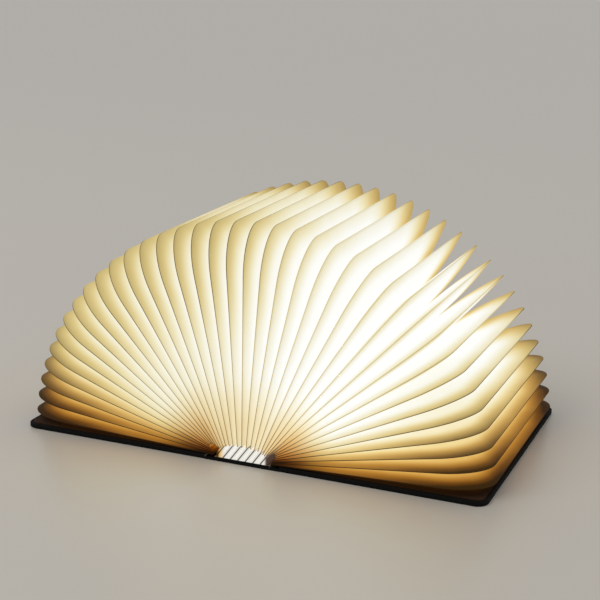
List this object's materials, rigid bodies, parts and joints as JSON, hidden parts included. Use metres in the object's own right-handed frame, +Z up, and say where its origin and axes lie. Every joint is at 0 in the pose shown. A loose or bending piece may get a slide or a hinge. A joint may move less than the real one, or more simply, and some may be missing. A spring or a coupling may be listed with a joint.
{
  "type": "folding book lamp",
  "caption": "Hard-cover book that opens into a fan of lit paper pleats: covers hinge on the spine, pleats spread between them over a light bar.",
  "frame": {"origin": "under the middle of the spine, on the surface that the open covers lie on", "axes": "+X across the two open covers, to the right; +Y along the spine, to the far end with the charging socket; +Z up"},
  "size_m": [0.37, 0.215, 0.1802],
  "materials": {
    "cloth": "fine black book cloth",
    "grey_board": "grey board, raw",
    "lining_paper": "matt black lining paper",
    "magnet": "nickel plated",
    "page_paper": "translucent cream sheet, lit from inside",
    "root_paper": "glued white sheet edges",
    "channel_metal": "extruded, plain",
    "screw_steel": "zinc plated",
    "lamp_board_metal": "white solder mask",
    "lamp_package": "yellow phosphor",
    "frosted_cap": "frosted",
    "cell_pouch": "foil pouch",
    "control_board_green": "green solder mask",
    "socket_steel": "drawn steel shell",
    "light_pipe": "clear moulded"
  },
  "bodies": {
    "spine": {"spine_wrap": "cloth", "spine_board": "grey_board", "near_root_block": "root_paper", "far_root_block": "root_paper", "light_channel": "channel_metal", "channel_screws": "screw_steel", "lamp_board": "lamp_board_metal", "lamps": "lamp_package", "light_diffuser": "frosted_cap", "battery_cell": "cell_pouch", "control_board": "control_board_green", "charge_socket": "socket_steel", "charge_indicator": "light_pipe", "left_hinge_cloth": "cloth", "right_hinge_cloth": "cloth", "page_19": "page_paper"},
    "left_cover": {"left_cover_wrap": "cloth", "left_cover_board": "grey_board", "left_cover_lining": "lining_paper", "left_cover_magnets": "magnet"},
    "right_cover": {"right_cover_wrap": "cloth", "right_cover_board": "grey_board", "right_cover_lining": "lining_paper", "right_cover_magnets": "magnet"},
    "page_01": {"page_01": "page_paper"},
    "page_02": {"page_02": "page_paper"},
    "page_03": {"page_03": "page_paper"},
    "page_04": {"page_04": "page_paper"},
    "page_05": {"page_05": "page_paper"},
    "page_06": {"page_06": "page_paper"},
    "page_07": {"page_07": "page_paper"},
    "page_08": {"page_08": "page_paper"},
    "page_09": {"page_09": "page_paper"},
    "page_10": {"page_10": "page_paper"},
    "page_11": {"page_11": "page_paper"},
    "page_12": {"page_12": "page_paper"},
    "page_13": {"page_13": "page_paper"},
    "page_14": {"page_14": "page_paper"},
    "page_15": {"page_15": "page_paper"},
    "page_16": {"page_16": "page_paper"},
    "page_17": {"page_17": "page_paper"},
    "page_18": {"page_18": "page_paper"},
    "page_20": {"page_20": "page_paper"},
    "page_21": {"page_21": "page_paper"},
    "page_22": {"page_22": "page_paper"},
    "page_23": {"page_23": "page_paper"},
    "page_24": {"page_24": "page_paper"},
    "page_25": {"page_25": "page_paper"},
    "page_26": {"page_26": "page_paper"},
    "page_27": {"page_27": "page_paper"},
    "page_28": {"page_28": "page_paper"},
    "page_29": {"page_29": "page_paper"},
    "page_30": {"page_30": "page_paper"},
    "page_31": {"page_31": "page_paper"},
    "page_32": {"page_32": "page_paper"},
    "page_33": {"page_33": "page_paper"},
    "page_34": {"page_34": "page_paper"},
    "page_35": {"page_35": "page_paper"},
    "page_36": {"page_36": "page_paper"},
    "page_37": {"page_37": "page_paper"}
  },
  "joints": [
    {"name": "left_cover_hinge", "type": "hinge", "parent": "spine", "child": "left_cover", "pos_m": [-0.02612, 0, 0.0003], "axis": [0, 1, 0], "range_deg": [-90, 90], "deforming": ["left_hinge_cloth", "page_19"]},
    {"name": "right_cover_hinge", "type": "hinge", "parent": "spine", "child": "right_cover", "pos_m": [0.02612, 0, 0.0003], "axis": [0, -1, 0], "range_deg": [-90, 90], "deforming": ["right_hinge_cloth"]},
    {"name": "page_01_turn", "type": "hinge", "parent": "spine", "child": "page_01", "pos_m": [-0.02016, 0, 0.00439], "axis": [0, 1, 0], "range_deg": [-87.87, 87.87], "deforming": ["page_01"]},
    {"name": "page_02_turn", "type": "hinge", "parent": "spine", "child": "page_02", "pos_m": [-0.01904, 0, 0.00502], "axis": [0, 1, 0], "range_deg": [-83.53, 83.53], "deforming": ["page_02"]},
    {"name": "page_03_turn", "type": "hinge", "parent": "spine", "child": "page_03", "pos_m": [-0.01792, 0, 0.00543], "axis": [0, 1, 0], "range_deg": [-79.09, 79.09], "deforming": ["page_03"]},
    {"name": "page_04_turn", "type": "hinge", "parent": "spine", "child": "page_04", "pos_m": [-0.0168, 0, 0.00555], "axis": [0, 1, 0], "range_deg": [-74.5, 74.5], "deforming": ["page_04"]},
    {"name": "page_05_turn", "type": "hinge", "parent": "spine", "child": "page_05", "pos_m": [-0.01568, 0, 0.00536], "axis": [0, 1, 0], "range_deg": [-69.71, 69.71], "deforming": ["page_05"]},
    {"name": "page_06_turn", "type": "hinge", "parent": "spine", "child": "page_06", "pos_m": [-0.01456, 0, 0.00483], "axis": [0, 1, 0], "range_deg": [-64.72, 64.72], "deforming": ["page_06"]},
    {"name": "page_07_turn", "type": "hinge", "parent": "spine", "child": "page_07", "pos_m": [-0.01344, 0, 0.00393], "axis": [0, 1, 0], "range_deg": [-59.53, 59.53], "deforming": ["page_07"]},
    {"name": "page_08_turn", "type": "hinge", "parent": "spine", "child": "page_08", "pos_m": [-0.01232, 0, 0.00266], "axis": [0, 1, 0], "range_deg": [-54.17, 54.17], "deforming": ["page_08"]},
    {"name": "page_09_turn", "type": "hinge", "parent": "spine", "child": "page_09", "pos_m": [-0.0112, 0, 0.00102], "axis": [0, 1, 0], "range_deg": [-48.72, 48.72], "deforming": ["page_09"]},
    {"name": "page_10_turn", "type": "hinge", "parent": "spine", "child": "page_10", "pos_m": [-0.01008, 0, -0.00097], "axis": [0, 1, 0], "range_deg": [-43.22, 43.22], "deforming": ["page_10"]},
    {"name": "page_11_turn", "type": "hinge", "parent": "spine", "child": "page_11", "pos_m": [-0.00896, 0, -0.00328], "axis": [0, 1, 0], "range_deg": [-37.74, 37.74], "deforming": ["page_11"]},
    {"name": "page_12_turn", "type": "hinge", "parent": "spine", "child": "page_12", "pos_m": [-0.00784, 0, -0.00584], "axis": [0, 1, 0], "range_deg": [-32.37, 32.37], "deforming": ["page_12"]},
    {"name": "page_13_turn", "type": "hinge", "parent": "spine", "child": "page_13", "pos_m": [-0.00672, 0, -0.00856], "axis": [0, 1, 0], "range_deg": [-27.16, 27.16], "deforming": ["page_13"]},
    {"name": "page_14_turn", "type": "hinge", "parent": "spine", "child": "page_14", "pos_m": [-0.0056, 0, -0.01131], "axis": [0, 1, 0], "range_deg": [-22.16, 22.16], "deforming": ["page_14"]},
    {"name": "page_15_turn", "type": "hinge", "parent": "spine", "child": "page_15", "pos_m": [-0.00448, 0, -0.01394], "axis": [0, 1, 0], "range_deg": [-17.37, 17.37], "deforming": ["page_15"]},
    {"name": "page_16_turn", "type": "hinge", "parent": "spine", "child": "page_16", "pos_m": [-0.00336, 0, -0.01626], "axis": [0, 1, 0], "range_deg": [-12.8, 12.8], "deforming": ["page_16"]},
    {"name": "page_17_turn", "type": "hinge", "parent": "spine", "child": "page_17", "pos_m": [-0.00224, 0, -0.01809], "axis": [0, 1, 0], "range_deg": [-8.43, 8.43], "deforming": ["page_17"]},
    {"name": "page_18_turn", "type": "hinge", "parent": "spine", "child": "page_18", "pos_m": [-0.00112, 0, -0.01927], "axis": [0, 1, 0], "range_deg": [-4.19, 4.19], "deforming": ["page_18"]},
    {"name": "page_20_turn", "type": "hinge", "parent": "spine", "child": "page_20", "pos_m": [0.00112, 0, -0.01927], "axis": [0, -1, 0], "range_deg": [-4.19, 4.19], "deforming": ["page_20"]},
    {"name": "page_21_turn", "type": "hinge", "parent": "spine", "child": "page_21", "pos_m": [0.00224, 0, -0.01809], "axis": [0, -1, 0], "range_deg": [-8.43, 8.43], "deforming": ["page_21"]},
    {"name": "page_22_turn", "type": "hinge", "parent": "spine", "child": "page_22", "pos_m": [0.00336, 0, -0.01626], "axis": [0, -1, 0], "range_deg": [-12.8, 12.8], "deforming": ["page_22"]},
    {"name": "page_23_turn", "type": "hinge", "parent": "spine", "child": "page_23", "pos_m": [0.00448, 0, -0.01394], "axis": [0, -1, 0], "range_deg": [-17.37, 17.37], "deforming": ["page_23"]},
    {"name": "page_24_turn", "type": "hinge", "parent": "spine", "child": "page_24", "pos_m": [0.0056, 0, -0.01131], "axis": [0, -1, 0], "range_deg": [-22.16, 22.16], "deforming": ["page_24"]},
    {"name": "page_25_turn", "type": "hinge", "parent": "spine", "child": "page_25", "pos_m": [0.00672, 0, -0.00856], "axis": [0, -1, 0], "range_deg": [-27.16, 27.16], "deforming": ["page_25"]},
    {"name": "page_26_turn", "type": "hinge", "parent": "spine", "child": "page_26", "pos_m": [0.00784, 0, -0.00584], "axis": [0, -1, 0], "range_deg": [-32.37, 32.37], "deforming": ["page_26"]},
    {"name": "page_27_turn", "type": "hinge", "parent": "spine", "child": "page_27", "pos_m": [0.00896, 0, -0.00328], "axis": [0, -1, 0], "range_deg": [-37.74, 37.74], "deforming": ["page_27"]},
    {"name": "page_28_turn", "type": "hinge", "parent": "spine", "child": "page_28", "pos_m": [0.01008, 0, -0.00097], "axis": [0, -1, 0], "range_deg": [-43.22, 43.22], "deforming": ["page_28"]},
    {"name": "page_29_turn", "type": "hinge", "parent": "spine", "child": "page_29", "pos_m": [0.0112, 0, 0.00102], "axis": [0, -1, 0], "range_deg": [-48.72, 48.72], "deforming": ["page_29"]},
    {"name": "page_30_turn", "type": "hinge", "parent": "spine", "child": "page_30", "pos_m": [0.01232, 0, 0.00266], "axis": [0, -1, 0], "range_deg": [-54.17, 54.17], "deforming": ["page_30"]},
    {"name": "page_31_turn", "type": "hinge", "parent": "spine", "child": "page_31", "pos_m": [0.01344, 0, 0.00393], "axis": [0, -1, 0], "range_deg": [-59.53, 59.53], "deforming": ["page_31"]},
    {"name": "page_32_turn", "type": "hinge", "parent": "spine", "child": "page_32", "pos_m": [0.01456, 0, 0.00483], "axis": [0, -1, 0], "range_deg": [-64.72, 64.72], "deforming": ["page_32"]},
    {"name": "page_33_turn", "type": "hinge", "parent": "spine", "child": "page_33", "pos_m": [0.01568, 0, 0.00536], "axis": [0, -1, 0], "range_deg": [-69.71, 69.71], "deforming": ["page_33"]},
    {"name": "page_34_turn", "type": "hinge", "parent": "spine", "child": "page_34", "pos_m": [0.0168, 0, 0.00555], "axis": [0, -1, 0], "range_deg": [-74.5, 74.5], "deforming": ["page_34"]},
    {"name": "page_35_turn", "type": "hinge", "parent": "spine", "child": "page_35", "pos_m": [0.01792, 0, 0.00543], "axis": [0, -1, 0], "range_deg": [-79.09, 79.09], "deforming": ["page_35"]},
    {"name": "page_36_turn", "type": "hinge", "parent": "spine", "child": "page_36", "pos_m": [0.01904, 0, 0.00502], "axis": [0, -1, 0], "range_deg": [-83.53, 83.53], "deforming": ["page_36"]},
    {"name": "page_37_turn", "type": "hinge", "parent": "spine", "child": "page_37", "pos_m": [0.02016, 0, 0.00439], "axis": [0, -1, 0], "range_deg": [-87.87, 87.87], "deforming": ["page_37"]}
  ],
  "couplings": [
    {"joint": "page_01_turn", "follows": "left_cover_hinge", "ratio": 0.9761},
    {"joint": "page_02_turn", "follows": "left_cover_hinge", "ratio": 0.9279},
    {"joint": "page_03_turn", "follows": "left_cover_hinge", "ratio": 0.87858},
    {"joint": "page_04_turn", "follows": "left_cover_hinge", "ratio": 0.82752},
    {"joint": "page_05_turn", "follows": "left_cover_hinge", "ratio": 0.77432},
    {"joint": "page_06_turn", "follows": "left_cover_hinge", "ratio": 0.71883},
    {"joint": "page_07_turn", "follows": "left_cover_hinge", "ratio": 0.66118},
    {"joint": "page_08_turn", "follows": "left_cover_hinge", "ratio": 0.60172},
    {"joint": "page_09_turn", "follows": "left_cover_hinge", "ratio": 0.54107},
    {"joint": "page_10_turn", "follows": "left_cover_hinge", "ratio": 0.47994},
    {"joint": "page_11_turn", "follows": "left_cover_hinge", "ratio": 0.41916},
    {"joint": "page_12_turn", "follows": "left_cover_hinge", "ratio": 0.35949},
    {"joint": "page_13_turn", "follows": "left_cover_hinge", "ratio": 0.3016},
    {"joint": "page_14_turn", "follows": "left_cover_hinge", "ratio": 0.24596},
    {"joint": "page_15_turn", "follows": "left_cover_hinge", "ratio": 0.19279},
    {"joint": "page_16_turn", "follows": "left_cover_hinge", "ratio": 0.14204},
    {"joint": "page_17_turn", "follows": "left_cover_hinge", "ratio": 0.093394},
    {"joint": "page_18_turn", "follows": "left_cover_hinge", "ratio": 0.046288},
    {"joint": "page_20_turn", "follows": "right_cover_hinge", "ratio": 0.046288},
    {"joint": "page_21_turn", "follows": "right_cover_hinge", "ratio": 0.093394},
    {"joint": "page_22_turn", "follows": "right_cover_hinge", "ratio": 0.14204},
    {"joint": "page_23_turn", "follows": "right_cover_hinge", "ratio": 0.19279},
    {"joint": "page_24_turn", "follows": "right_cover_hinge", "ratio": 0.24596},
    {"joint": "page_25_turn", "follows": "right_cover_hinge", "ratio": 0.3016},
    {"joint": "page_26_turn", "follows": "right_cover_hinge", "ratio": 0.35949},
    {"joint": "page_27_turn", "follows": "right_cover_hinge", "ratio": 0.41916},
    {"joint": "page_28_turn", "follows": "right_cover_hinge", "ratio": 0.47994},
    {"joint": "page_29_turn", "follows": "right_cover_hinge", "ratio": 0.54107},
    {"joint": "page_30_turn", "follows": "right_cover_hinge", "ratio": 0.60172},
    {"joint": "page_31_turn", "follows": "right_cover_hinge", "ratio": 0.66118},
    {"joint": "page_32_turn", "follows": "right_cover_hinge", "ratio": 0.71883},
    {"joint": "page_33_turn", "follows": "right_cover_hinge", "ratio": 0.77432},
    {"joint": "page_34_turn", "follows": "right_cover_hinge", "ratio": 0.82752},
    {"joint": "page_35_turn", "follows": "right_cover_hinge", "ratio": 0.87858},
    {"joint": "page_36_turn", "follows": "right_cover_hinge", "ratio": 0.9279},
    {"joint": "page_37_turn", "follows": "right_cover_hinge", "ratio": 0.9761}
  ]
}
